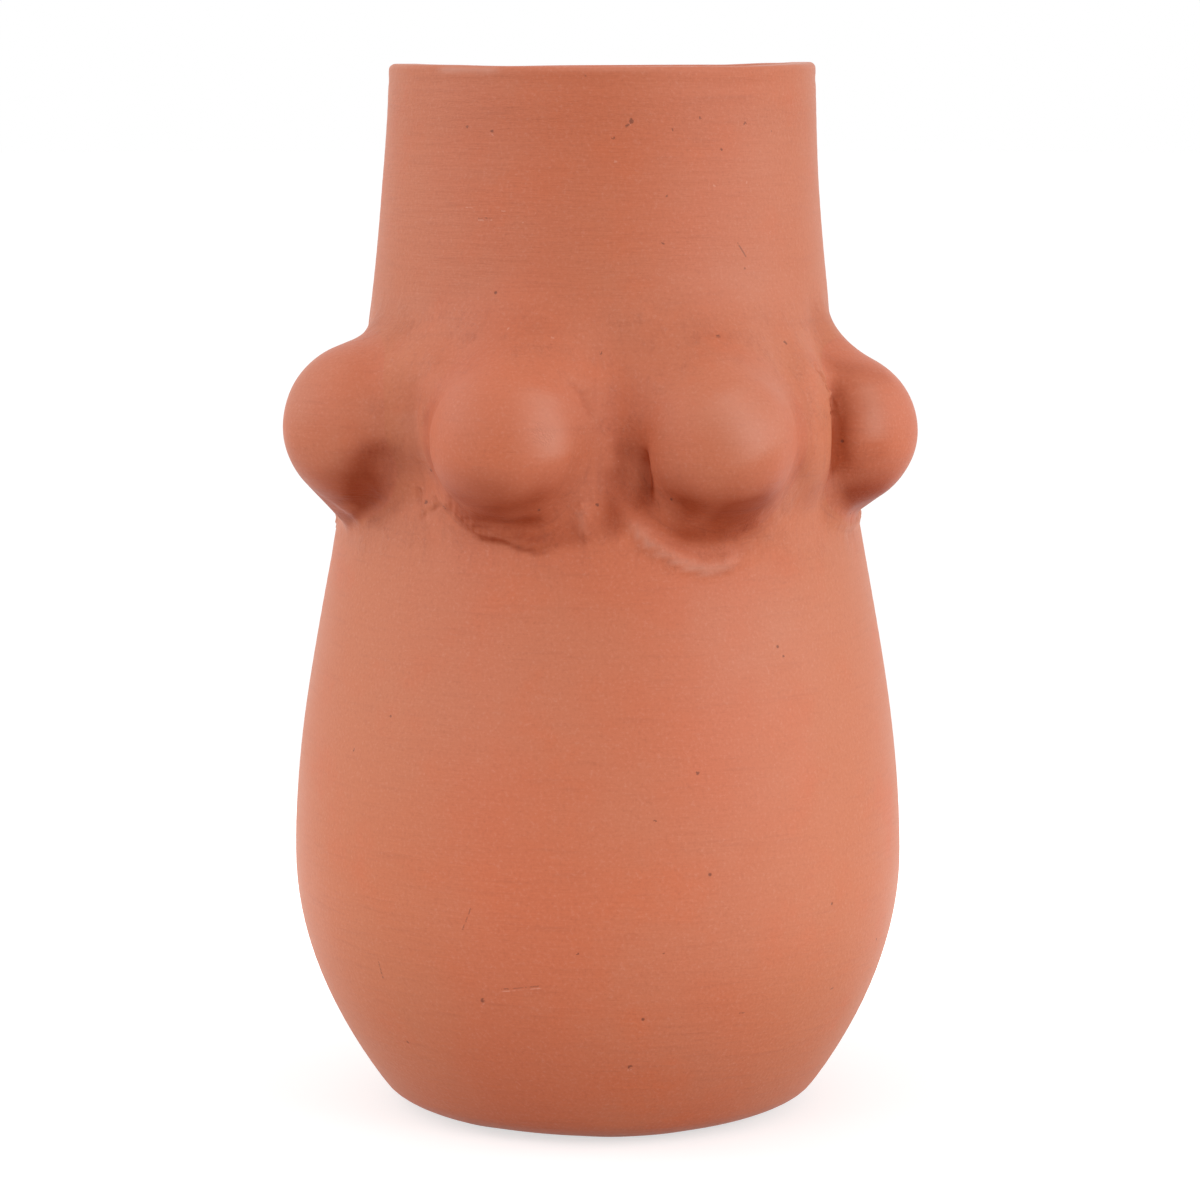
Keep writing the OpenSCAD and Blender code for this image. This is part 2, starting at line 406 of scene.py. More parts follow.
# The whole skin is laid out first, in patches that share their edges, so that pieces meet without a gap.
mesh = {
    "columns": 60,       # grid columns to each ball's share of the belt
    "beltRows": 74,      # grid rows up the belt
    "beltLow": 118.5,    # bottom of the belt, in mm
    "firstEdge": 3.25,   # angle of the line between ball_8 and ball_1
    "bellyStep": 1.5,    # spacing of rings, in mm
    "neckStep": 0.85,
    "neckInsideStep": 2.0,
    "bellyInsideStep": 2.6,
    "discStep": 2.0,
    "discGrain": 0.45,   # a disc's rings halve when their points come closer than this share of its step
    "discFewest": 24,    # and only while they have more points than this
    "footRings": 13,
    "lipRings": 7,
    "aroundRings": 10,   # rings between a collar and the edge of its share
    "collarRings": 26,
    "ballRings": 36,
    "ballGrain": 0.27,   # a ball's rings halve when their points come closer than this, in mm
    "ballFewest": 16,
    "collarSide": 18.2,  # reach of a collar to the side and up, in mm
    "collarUp": 19.3,
    "ballCover": 64.0,   # angle from a ball's axis at which its collar starts
    "rayDepth": 12.0,    # rays that find a ball's face start this far behind its centre
    "rayFan": 80,        # and spread this far from its axis, in degrees
    "rays": 111,
    "rayLow": 2,         # the clay's face is looked for between these distances, in mm
    "rayHigh": 40,
    "rayPast": 1.2,      # and no farther than this past the collar's reach
}

skinPoints = []
skinFaces = {}


def addPoints(points):
    points = np.asarray(points, float)
    first = sum(len(part) for part in skinPoints)
    skinPoints.append(points.reshape(-1, 3))
    return np.arange(first, first + points.size // 3).reshape(points.shape[:-1])


def placed(ids):
    return np.concatenate(skinPoints)[ids]


def addFaces(piece, faces):
    skinFaces.setdefault(piece, []).append(np.asarray(faces).reshape(-1, np.shape(faces)[-1]))


def strip(low, high):  # quads between two closed rings of the same count, low first
    return np.stack([low, np.roll(low, -1), np.roll(high, -1), high], -1)


def halving(ring, half):  # triangles between a closed ring and an inner ring of half its count
    a, b, c = ring[0::2], ring[1::2], np.roll(ring[0::2], -1)
    p, q = half, np.roll(half, -1)
    return np.concatenate([np.stack([a, b, p], -1), np.stack([b, q, p], -1), np.stack([b, c, q], -1)])


def fan(ring, tip):
    return np.stack([ring, np.roll(ring, -1), np.full(ring.shape, tip)], -1)


def stackRings(piece, rings):
    for low, high in zip(rings[:-1], rings[1:]):
        addFaces(piece, strip(low, high))


shares = len(ballNames)
columns = mesh["columns"] * shares
ringAngles = mesh["firstEdge"] + np.arange(columns) * 360 / columns


def wallRing(z):  # round the outer face, with all that stands out from it
    return addPoints(clayAt(ringAngles, np.full(columns, z)))


def plainRing(r, z):
    return onPot(ringAngles, np.full(columns, r), np.full(columns, z))


def insideRing(z):
    return addPoints(plainRing(innerR(np.full(columns, z)), z))


def spaced(low, high, step):
    return np.linspace(low, high, int(math.ceil(abs(high - low) / step)) + 1)


def closeDisc(piece, ring, z, step, flip):  # fills a ring with rings that halve towards the middle
    middle = placed(ring).mean(0)
    middle[2] = z
    reach = np.hypot(*(placed(ring) - middle).T[:2]).mean()
    faces = []
    while reach > step:
        shrink = max(1 - step / reach, 0.0)
        crowded = reach * 2 * math.pi / len(ring) < step * mesh["discGrain"]
        halved = crowded and len(ring) % 2 == 0 and len(ring) > mesh["discFewest"]
        source = placed(ring)[::2 if halved else 1]
        inner = addPoints(middle + (source - middle) * [shrink, shrink, 0])
        faces.append(halving(ring, inner) if halved else strip(ring, inner))
        ring = inner
        reach -= step
    faces.append(fan(ring, addPoints(middle[None])[0]))
    for part in faces:
        addFaces(piece, part[:, ::-1] if flip else part)


print("laying out the foot and the belly")
bellyRings = [wallRing(z) for z in spaced(footZ, mesh["beltLow"], mesh["bellyStep"])]
stackRings("belly_wall", bellyRings)
beltFoot = bellyRings[-1]
footHeights = footZ * np.linspace(1, 0, mesh["footRings"])**2
footRings = [bellyRings[0]] + [addPoints(plainRing(footEdgeR(z), z)) for z in footHeights[1:]]
stackRings("floor_slab", footRings[::-1])
closeDisc("floor_slab", footRings[-1], 0.0, mesh["discStep"], True)

print("laying out the neck and the lip")
lipZ = rimZ - lipRound
lipOut = float(outerR(lipZ)) - lipRound
lipIn = float(innerR(lipZ)) + lipRound


def lipRing(centreR, a):  # a ring of the rounded lip, at an angle from level
    return addPoints(plainRing(centreR + lipRound * math.cos(a), lipZ + lipRound * math.sin(a)))


neckRings = [wallRing(z) for z in spaced(seamZ, lipZ, mesh["neckStep"])]
seamRing = neckRings[0]
neckRings += [lipRing(lipOut, a) for a in np.radians(np.linspace(0, 90, mesh["lipRings"])[1:])]
neckRings.append(addPoints(plainRing((lipIn + lipOut) / 2, rimZ)))
neckRings += [lipRing(lipIn, a) for a in np.radians(np.linspace(90, 180, mesh["lipRings"]))]
neckRings += [insideRing(z) for z in spaced(lipZ, lapZ, mesh["neckInsideStep"])[1:]]
stackRings("neck_wall", neckRings)
insideRings = [neckRings[-1]]
insideRings += [insideRing(z) for z in spaced(lapZ, floorT, mesh["bellyInsideStep"])[1:]]
stackRings("belly_wall", insideRings)
closeDisc("floor_slab", insideRings[-1], floorT, mesh["discStep"], False)

print("laying out the balls and their collars")
beltHeights = np.linspace(mesh["beltLow"], seamZ, mesh["beltRows"] + 1)
edgeLines = []
for k in range(shares):
    column = k * mesh["columns"]
    edgeAngle = mesh["firstEdge"] + k * 360 / shares
    line = addPoints(clayAt(np.full(mesh["beltRows"] - 1, edgeAngle), beltHeights[1:-1]))
    edgeLines.append(np.concatenate([beltFoot[column:column + 1], line, seamRing[column:column + 1]]))


def shareBorder(k):  # round the edge of a ball's share of the belt, from its lower left corner
    row = np.arange(k * mesh["columns"], (k + 1) * mesh["columns"] + 1) % columns
    return np.concatenate([beltFoot[row][:-1], edgeLines[(k + 1) % shares][:-1],
                           seamRing[row][::-1][:-1], edgeLines[k][::-1][:-1]])


def meridians(ball, clock, reach):  # the clay's face along rays from behind the ball, a row to each angle
    centre, out, side = ballAxes(ball)
    deep = centre - out * mesh["rayDepth"]
    tilt = np.radians(np.linspace(0, mesh["rayFan"], mesh["rays"]))
    around = np.cos(clock)[:, None] * side + np.sin(clock)[:, None] * np.array([0, 0, 1.0])
    ways = np.cos(tilt)[None, :, None] * out + np.sin(tilt)[None, :, None] * around[:, None, :]
    past = (reach[:, None] + mesh["rayPast"]) / np.maximum(np.sin(tilt), 0.02)
    ends = np.minimum(mesh["rayHigh"], past)
    return outTo(np.broadcast_to(deep, ways.shape), ways, mesh["rayLow"], ends)


def along(lines, stops):  # points at fractional steps along each line
    low = np.clip(np.floor(stops).astype(int), 0, lines.shape[1] - 2)
    t = (stops - low)[..., None]
    rows = np.arange(len(lines))[:, None]
    return lines[rows, low] * (1 - t) + lines[rows, low + 1] * t


def evenStops(lines, start, end, count):  # fractional steps that space points evenly along each line
    steps = np.arange(lines.shape[1], dtype=float)
    runs = np.cumsum(np.linalg.norm(np.diff(lines, axis=1), axis=-1), axis=1)
    length = np.concatenate([np.zeros((len(lines), 1)), runs], 1)
    found = np.empty((len(lines), count))
    for j in range(len(lines)):
        a, b = np.interp([start[j], end[j]], steps, length[j])
        found[j] = np.interp(np.linspace(a, b, count), length[j], steps)
    return found


def stepsTo(goals, rows):  # the fractional step at which each row first reaches its goal
    steps = np.arange(rows.shape[1], dtype=float)
    return np.array([np.interp(goal, np.maximum.accumulate(row), steps) for goal, row in zip(goals, rows)])


def ballGrids(ball, clock):  # a ball's tip, and rings of points over it and over its collar
    centre, out, side = ballAxes(ball)
    reach = 1 / np.sqrt((np.cos(clock) / mesh["collarSide"])**2 + (np.sin(clock) / mesh["collarUp"])**2)
    lines = meridians(ball, clock, reach)
    d = lines - centre
    rho = np.hypot(d @ side, d[..., 2])
    tilt = np.degrees(np.arctan2(rho, d @ out))
    cover = stepsTo(np.full(len(lines), mesh["ballCover"]), tilt)
    ballStops = evenStops(lines, np.zeros(len(lines)), cover, mesh["ballRings"] + 1)
    collarStops = evenStops(lines, cover, stepsTo(reach, rho), mesh["collarRings"] + 1)
    ballGrid = along(lines, ballStops)[:, 1:].swapaxes(0, 1)
    collarGrid = along(lines, collarStops)[:, 1:].swapaxes(0, 1)
    collarGrid[-1] = clayAt(fromPot(collarGrid[-1])[0], collarGrid[-1][:, 2])
    return lines[:1, 0], ballGrid, collarGrid


def layBall(piece, grid, tip):  # from the collar in to the tip, with rings that halve on the way
    ring = cover = addPoints(grid[-1])
    for row in grid[-2::-1]:
        width = np.linalg.norm(np.roll(row, -1, 0) - row, axis=1).mean()
        crowded = width * len(row) / len(ring) < mesh["ballGrain"]
        halved = crowded and len(ring) % 2 == 0 and len(ring) > mesh["ballFewest"]
        count = len(ring) // 2 if halved else len(ring)
        inner = addPoints(row[::len(row) // count])
        addFaces(piece, halving(ring, inner) if halved else strip(ring, inner))
        ring = inner
    addFaces(piece, fan(ring, tip))
    return cover


def layCollar(piece, ring, grid):
    for row in grid:
        outer = addPoints(row)
        addFaces(piece, strip(outer, ring))
        ring = outer
    return ring


def layAround(ball, ring, border):  # the wall between a collar and the edge of its share
    start, end = placed(ring), placed(border)
    startTurn, endTurn = (wrapped(fromPot(points)[0] - ball["angle"]) for points in (start, end))
    for step in np.linspace(0, 1, mesh["aroundRings"] + 1)[1:-1]:
        t = 0.6 * step + 0.4 * step * step  # closer rings by the collar
        turn = startTurn * (1 - t) + endTurn * t
        outer = addPoints(clayAt(ball["angle"] + turn, start[:, 2] * (1 - t) + end[:, 2] * t))
        addFaces("belly_wall", strip(outer, ring))
        ring = outer
    addFaces("belly_wall", strip(border, ring))


collarEdges = {}
beltR = 51.5  # about the radius of the belt's wall
for k, name in enumerate(ballNames):
    ball = ballRing[name]
    border = shareBorder(k)
    turn = wrapped(fromPot(placed(border))[0] - ball["angle"])
    clock = np.arctan2(placed(border)[:, 2] - ball["z"], np.radians(turn) * beltR)
    tipPoint, ballGrid, collarGrid = ballGrids(ball, clock)
    cover = layBall(name, ballGrid, addPoints(tipPoint)[0])
    edge = layCollar(name.replace("ball", "collar"), cover, collarGrid)
    layAround(ball, edge, border)
    collarEdges[name] = (cover, edge)

skin = np.concatenate(skinPoints)
print("skin points:", len(skin))


def skinNormals(points):
    total = np.zeros(points.shape)
    for faces in (part for parts in skinFaces.values() for part in parts):
        p = points[faces].swapaxes(0, 1)
        ways = np.cross(p[2] - p[0], p[3] - p[1]) if len(p) == 4 else np.cross(p[1] - p[0], p[2] - p[0])
        for corner in faces.T:
            for axis in range(3):
                total[:, axis] += np.bincount(corner, ways[:, axis], len(points))
    return total / np.maximum(np.linalg.norm(total, axis=1, keepdims=True), 1e-12)


# Dents pressed into the balls and collars, each along a path of (angle, height): width to its left, width to
# its right, depth. Widths and depths are in mm, and left is left for a walk along the path.
ballCreases = {
    "right": [(58.4, 157.5), (57.0, 153.5), (55.8, 150.0), (55.3, 146.0), (55.2, 142.5), (55.5, 139.0),
        (56.4, 135.0)],
    "left": [(-46.5, 147.5), (-48.5, 143.0), (-51.0, 138.0), (-53.7, 134.3), (-57.0, 131.0),
        (-63.0, 127.5), (-70.0, 124.6)],
    "frontLip": [(-36.0, 134.2), (-30.2, 129.9), (-25.0, 126.7), (-19.8, 126.3), (-17.0, 125.3),
        (-12.8, 124.7), (-9.6, 125.5), (-4.0, 126.6), (3.0, 129.0)],
}
dents = [
    (ballCreases["right"], 5.0, 1.0, 0.8),
    ([(-46.5, 147.0), (-49.0, 142.0), (-52.0, 137.0), (-56.0, 132.5), (-62.0, 128.5)], 4.5, 4.0, 0.9),
    ([(9.2, 146.5), (9.3, 143.0), (9.6, 140.6), (10.0, 138.0), (10.3, 135.1),
      (11.5, 132.5)], 0.8, 1.7, 1.5),
    ([(5.6, 153.0), (6.6, 146.0), (6.8, 140.2), (7.9, 135.0), (10.0, 130.5)], 3.2, 3.2, 0.6),
    ([(14.0, 132.6), (18.0, 131.0), (22.0, 130.0), (26.0, 129.8), (31.0, 131.4)], 4.0, 3.0, 0.3),
    ([(-28.0, 132.6), (-22.0, 130.6), (-17.7, 129.7), (-14.0, 130.2), (-9.0, 132.6)], 3.2, 2.4, 0.6),
]

# Tones along such paths: darker where shade is painted into creases and under the balls, paler where
# highlights are painted on, and on the rim's worn edge. A share comes last.
shadeDarkening = [
    (ballCreases["right"], 4.2, 0.6, 0.5),
    (ballCreases["right"], 1.3, 0.4, 0.35),
    ([(60.0, 159.0), (61.0, 152.0), (61.5, 146.0), (61.0, 139.0)], 3.6, 3.0, 0.18),
    ([(58.5, 162.0), (62.0, 159.5), (66.0, 157.5), (71.0, 156.5)], 3.0, 3.0, 0.25),
    (ballCreases["left"], 2.6, 5.0, 0.12),
    (ballCreases["frontLip"], 4.5, 0.3, 0.5),
    ([(3.8, 142.0), (3.0, 135.0), (3.4, 130.0), (6.0, 126.5)], 3.0, 3.0, 0.6),
    ([(-7.0, 158.4), (-4.0, 155.8), (-1.4, 150.6)], 0.6, 0.6, 0.15),
    ([(12.0, 138.0), (18.0, 134.0), (26.0, 133.0), (33.0, 134.5), (38.0, 138.0)], 4.5, 4.5, 0.42),
    ([(-31.0, 138.0), (-25.0, 134.5), (-19.0, 133.5), (-12.0, 135.5), (-7.0, 139.0)], 4.0, 4.0, 0.2),
    ([(58.0, 138.0), (63.0, 133.5), (71.0, 131.5), (82.0, 131.5)], 4.5, 3.5, 0.3),
    ([(8.0, 138.0), (9.5, 133.5), (13.0, 130.0), (18.0, 127.6), (23.0, 127.0), (29.0, 128.0),
      (34.0, 131.0)], 4.5, 2.6, 0.55),
]
# Paler tones: painted highlights on the lip under ball_1, on a ridge, on the tops of the front balls, on a
# web and down the right side of the body and neck, and a painted reflection along the top of the rim. The
# worn patch on the rim's left is real wear.
paleWearAndHighlight = [
    ([(4.6, 131.6), (6.2, 129.6), (10.6, 125.2), (16.8, 121.6), (21.8, 119.9), (26.0, 120.1),
      (31.0, 122.2)], 1.2, 0.7, 0.5),
    ([(-3.9, 133.0), (-3.0, 127.5)], 0.8, 0.8, 0.2),
    ([(22.0, 158.0), (24.0, 152.5), (26.0, 148.0), (28.0, 142.5)], 4.8, 4.8, 0.32),
    ([(-11.0, 158.0), (-9.2, 152.5), (-8.4, 147.5), (-8.4, 142.0)], 4.6, 4.6, 0.34),
    ([(62.5, 156.5), (61.3, 151.5), (60.8, 147.5), (61.0, 143.0)], 2.8, 2.8, 0.28),
    ([(-42.0, 152.0), (-41.0, 146.0), (-40.5, 140.0)], 3.0, 3.0, 0.15),
    ([(-50.0, 218.7), (-38.0, 219.0), (-26.0, 218.8)], 0.9, 0.7, 0.5),
    ([(-24.0, 219.2), (0.0, 219.0), (40.0, 219.3)], 0.5, 0.5, 0.2),
    ([(40.0, 30.0), (39.0, 70.0), (40.0, 125.0)], 17.0, 17.0, 0.12),
    ([(42.0, 168.0), (44.0, 190.0), (45.0, 217.0)], 11.0, 11.0, 0.1),
]


def pathShare(points, path, left, right, taperEnds):  # 1 along a path over the clay, 0 away from it
    line = clayAt(*walk(np.array(path, float), max(0.4, left / 6)).T)
    reach = pathReach * max(left, right)
    near = np.where(((points > line.min(0) - reach) & (points < line.max(0) + reach)).all(1))[0]
    gaps = np.linalg.norm(points[near][:, None] - line[None], axis=2)
    k = gaps.argmin(1)
    outward = line * [1, 1, 0] / np.linalg.norm(line[:, :2], axis=1, keepdims=True)
    leftWay = np.cross(outward, np.gradient(line, axis=0))
    leftWay /= np.linalg.norm(leftWay, axis=1, keepdims=True)
    side = ((points[near] - line[k]) * leftWay[k]).sum(1)
    width = sideWidth(side, left, right)
    found = np.zeros(len(points))
    found[near] = np.exp(-(gaps.min(1) / width)**2) * taper(k / (len(line) - 1), taperEnds)
    return found


handwork = {  # heights and depths in mm
    "uneven": [(0.10, 40.0, 1), (0.05, 16.0, 2)],      # height, size and seed of soft lumps all over
    "beltUneven": [(0.12, 7.0, 3), (0.10, 14.0, 9)],   # and more of them on the belt
    "beltFrom": (116, 124),  # heights over which the belt's own work comes in, and goes out
    "beltTo": (168, 176),
    "turnPitch": 3.1,    # lines from turning on the wheel, and how far they wander
    "turnDepth": 0.012,
    "turnSway": 2.2,
    "turnSwaySize": 30.0,
    "rimLine": 216.6,    # height of a line under the rim, its half width and depth
    "rimLineWidth": 0.8,
    "rimLineDepth": 0.12,
    "spiralPitch": 7.5,  # finger marks inside, from one height to another
    "spiralDepth": 0.22,
    "spiralSwaySize": 40.0,
    "spiralFrom": 10,
    "spiralTo": (202, 216),
    "flatFoot": 0.4,     # clay below this height isn't worked
    "dentTaper": 0.4,    # share of a dent's length over which it fades in and out
    "toneTaper": 0.2,
}


def lumps(table):
    return sum(height * softField(skin, size, seed) for height, size, seed in table)


print("working the clay")
normals = skinNormals(skin)
angle, radius = fromPot(skin)
skinZ = skin[:, 2]
inside = (radius < innerR(skinZ) + 1.0) & (skinZ > floorT - 0.5)
outside = ~inside
beltShare = rising(skinZ, *handwork["beltFrom"]) * falling(skinZ, *handwork["beltTo"]) * outside
lift = outside * lumps(handwork["uneven"])
lift += beltShare * lumps(handwork["beltUneven"])
turnSway = handwork["turnSway"] * softField(skin * [0.3, 0.3, 1], handwork["turnSwaySize"], 4)
turnLines = np.sin(2 * math.pi * skinZ / handwork["turnPitch"] + turnSway)
lift += outside * (1 - beltShare) * handwork["turnDepth"] * turnLines
underRim = np.exp(-((skinZ - handwork["rimLine"]) / handwork["rimLineWidth"])**2)
lift -= outside * handwork["rimLineDepth"] * underRim
spiralSway = softField(skin, handwork["spiralSwaySize"], 5)
spiral = np.sin(2 * math.pi * (skinZ / handwork["spiralPitch"] - angle / 360) + spiralSway)
fingered = inside * (skinZ > handwork["spiralFrom"]) * falling(skinZ, *handwork["spiralTo"])
lift += fingered * handwork["spiralDepth"] * spiral
for path, left, right, depth in withEchoes(dents):
    lift -= depth * pathShare(skin, path, left, right, handwork["dentTaper"]) * outside
lift[skinZ < handwork["flatFoot"]] = 0
worked = skin + normals * lift[:, None]
worked[:, 2] += rising(skinZ, seamZ, rimZ)**2 * roundTrip(outline["rimDip"], angle)
footEdge = rising(radius, *outline["footLiftFrom"]) * falling(skinZ, *outline["footLiftTo"])
worked[:, 2] += footEdge * outside * roundTrip(outline["footLift"], angle)
worked[:, 2] = np.maximum(worked[:, 2], 0)
unworked, skin = skin, worked
normals = skinNormals(skin)

# How much shade is painted into the belt's creases and under the balls.
shade = {
    "probes": ((1.5, 0.3), (3.0, 0.3), (6.0, 0.25), (11.0, 0.15)),  # distance off the clay in mm, and weight
    "open": 0.07,   # this much doesn't count
    "gain": 1.4,
    "under": 0.65,  # for clay that faces down
}


def shadeToPaint(points, ways):  # painted shade: 0 on open clay, more in a crease or under a ball
    found = np.zeros(len(points))
    for reach, share in shade["probes"]:
        found += share * np.clip(1 - clayGap(points + ways * reach) / reach, 0, 1)
    under = rising(-ways[:, 2], 0.05, 0.9)
    return np.clip(found - shade["open"], 0, 1) * shade["gain"] + shade["under"] * under


tones = {"paintedShade": np.zeros(len(skin)), "paleWearAndHighlight": np.zeros(len(skin))}
# Shade painted into the belt's creases, under the balls and along given paths.
belted = np.where(beltShare > 0)[0]
tones["paintedShade"][belted] = beltShare[belted] * shadeToPaint(skin[belted], normals[belted])
for tone, paths in (("paintedShade", shadeDarkening), ("paleWearAndHighlight", paleWearAndHighlight)):
    for path, left, right, share in withEchoes(paths):
        tones[tone] += share * pathShare(skin, path, left, right, handwork["toneTaper"]) * outside


def smearPlace(points, nearest):  # distance from the nearest ball's axis, and the way round it
    found = np.zeros(points.shape)
    for k, ball in enumerate(ballRing.values()):
        near = nearest == k
        centre, out, side = ballAxes(ball)
        d = points[near] - centre
        s, v = d @ side, d[:, 2]
        rho = np.hypot(s, v)
        found[near] = np.stack([rho, 5 * s / np.maximum(rho, 1), 5 * v / np.maximum(rho, 1)], 1)
    return found


smearing = {  # where each kind of work, and the painted highlight on each ball, comes in and goes out, in mm from a ball's axis
    "smearFrom": (11, 15),
    "smearTo": (21, 26),
    "smearUnder": (-2.0, 2.0),  # under the balls, not over them
    "smearBeside": (17, 21),    # degrees round the pot
    "brushFrom": (14, 18),
    "highlightOff": 9.0,             # a painted highlight on each ball lies this far out and up from its centre
    "highlightReach": 10.0,
    "highlightShare": 0.05,
}
mottle = {  # how far soft patches change a tone, their size in mm and seed, and the most that it can be
    "paintedShade": (0.18, 5.0, 21, 1.15),
    "paleWearAndHighlight": (0.15, 6.0, 22, 1),
}

ballGaps = np.array([np.abs(wrapped(angle - ball["angle"])) for ball in ballRing.values()])
smears = smearPlace(skin, ballGaps.argmin(0))
fromAxis = smears[:, 0]
tones["smeared"] = beltShare * rising(fromAxis, *smearing["smearFrom"])
tones["smeared"] *= falling(fromAxis, *smearing["smearTo"])
tones["smeared"] *= falling(smears[:, 2], *smearing["smearUnder"])
tones["smeared"] *= falling(ballGaps.min(0), *smearing["smearBeside"])
tones["brushed"] = beltShare * rising(fromAxis, *smearing["brushFrom"])
# a painted highlight on the upper front of each ball
for ball in ballRing.values():
    centre, out, side = ballAxes(ball)
    highlightSpot = centre + (out + [0, 0, 1]) * smearing["highlightOff"]
    off = np.linalg.norm(skin - highlightSpot, axis=1)
    tones["paleWearAndHighlight"] += smearing["highlightShare"] * np.exp(-(off / smearing["highlightReach"])**3)
for tone, (share, size, seed, most) in mottle.items():
    tones[tone] = np.clip(tones[tone] * (1 + share * softField(skin, size, seed)), 0, most)


class Wire:  # a shader socket that takes part in Python sums
    def __init__(self, tree, socket=None):
        self.tree = tree
        self.socket = socket

    def node(self, kind, settings=None, values=None, out=0):
        made = self.tree.nodes.new(kind)
        for key, value in (settings or {}).items():
            setattr(made, key, value)
        for key, value in (values or {}).items():
            if isinstance(value, Wire):
                self.tree.links.new(value.socket, made.inputs[key])
            else:
                made.inputs[key].default_value = value
        return Wire(self.tree, made.outputs[out]) if made.outputs else None

    def sum(self, operation, a, b=0.0, clamp=False):
        return self.node("ShaderNodeMath", {"operation": operation, "use_clamp": clamp}, {0: a, 1: b})

    def vector(self, operation, *values, out=0):
        return self.node("ShaderNodeVectorMath", {"operation": operation}, dict(enumerate(values)), out)

    def __add__(self, other):
        return self.sum("ADD", self, other)

    def __radd__(self, other):
        return self.sum("ADD", other, self)

    def __sub__(self, other):
        return self.sum("SUBTRACT", self, other)

    def __rsub__(self, other):
        return self.sum("SUBTRACT", other, self)

    def __mul__(self, other):
        return self.sum("MULTIPLY", self, other)

    def __rmul__(self, other):
        return self.sum("MULTIPLY", other, self)

    def between(self, low, high):  # 0 on low's side, 1 on high's side, smooth between
        smoothly = {"interpolation_type": "SMOOTHSTEP"}
        return self.node("ShaderNodeMapRange", smoothly, {0: self, 1: low, 2: high})

    def blend(self, a, b):  # colour a where this is 0, colour b where it is 1
        return self.node("ShaderNodeMix", {"data_type": "RGBA"}, {0: self, 6: a, 7: b}, out=2)


def emptyTree(owner):  # the start of a new node tree for a material or a world
    owner.use_nodes = True
    owner.node_tree.nodes.clear()
    return Wire(owner.node_tree)


def colour(red, green, blue):  # from the 0 to 255 numbers of a paint chart
    def linear(c):
        c /= 255
        return c / 12.92 if c <= 0.04045 else ((c + 0.055) / 1.055)**2.4
    return (linear(red), linear(green), linear(blue), 1.0)


clayLook = {
    "body": colour(200, 107, 72),
    "warm": colour(204, 105, 66),
    "bloom": colour(198, 113, 80),
    "deep": colour(171, 89, 62),
    # painted sheen for the walls' left and right edges
    "sideSheen": colour(198, 115, 77),
    "pale": colour(214, 150, 128),
    # painted shade for the inside of pits and cuts
    "pitShade": colour(92, 44, 32),
    # painted shade: creases and undersides are darkened by this tint
    "shadeDarkening": (0.58, 0.36, 0.22, 1.0),  # how creases and undersides tint the clay
    "rough": 0.54,
    "shine": 0.15,
    "burnish": 0.55,
    "burnishRough": 0.58,
    "dust": 0.05,
    "dustRough": 0.4,
    "bump": 0.38,
    "bumpDepth": 0.0003,  # metres
}

clayGrain = {  # patterns in the clay: scale, detail and roughness of a noise, and its stretch
    "cloud": (20.0, 4.0, 0.6, None),
    "drift": (55.0, 5.0, 0.62, None),
    "grain": (1500.0, 3.0, 0.6, None),
    "wheel": (60.0, 5.0, 0.65, (1.0, 1.0, 12.0)),
    "brush": (520.0, 4.0, 0.7, (1.0, 1.0, 0.12)),
    "grit": (1000.0, 4.0, 0.75, None),
    "gritPatches": (130.0, 2.0, 0.5, None),
    "lumps": (260.0, 4.0, 0.6, None),
    "crinkle": (420.0, 4.0, 0.7, (1.0, 1.0, 3.0)),
}

clayRelief = {  # how strongly each pattern stands out of the clay
    "grain": 0.5,
    "wheel": 2.0,
    "wheelOnNeck": 1.4,  # added there
    "lumps": 0.6,
    "lumpsOnNeck": 0.9,
    "pores": -2.0,
    "streak": 1.6,
    "brush": 0.9,
    "grit": 3.0,
    "crinkle": 3.0,
    "ridges": 0.6,
}
clayZones = {  # where each kind of finish comes in or goes out, in metres
    "sideSheenFrom": (0.02, 0.052),  # to either side of the middle
    "neckFrom": (0.163, 0.19),   # heights
    "crinkleFrom": (0.203, 0.209),
    "crinkleTo": (0.2155, 0.212),
    "polishFrom": (-0.05, 0.1),
}

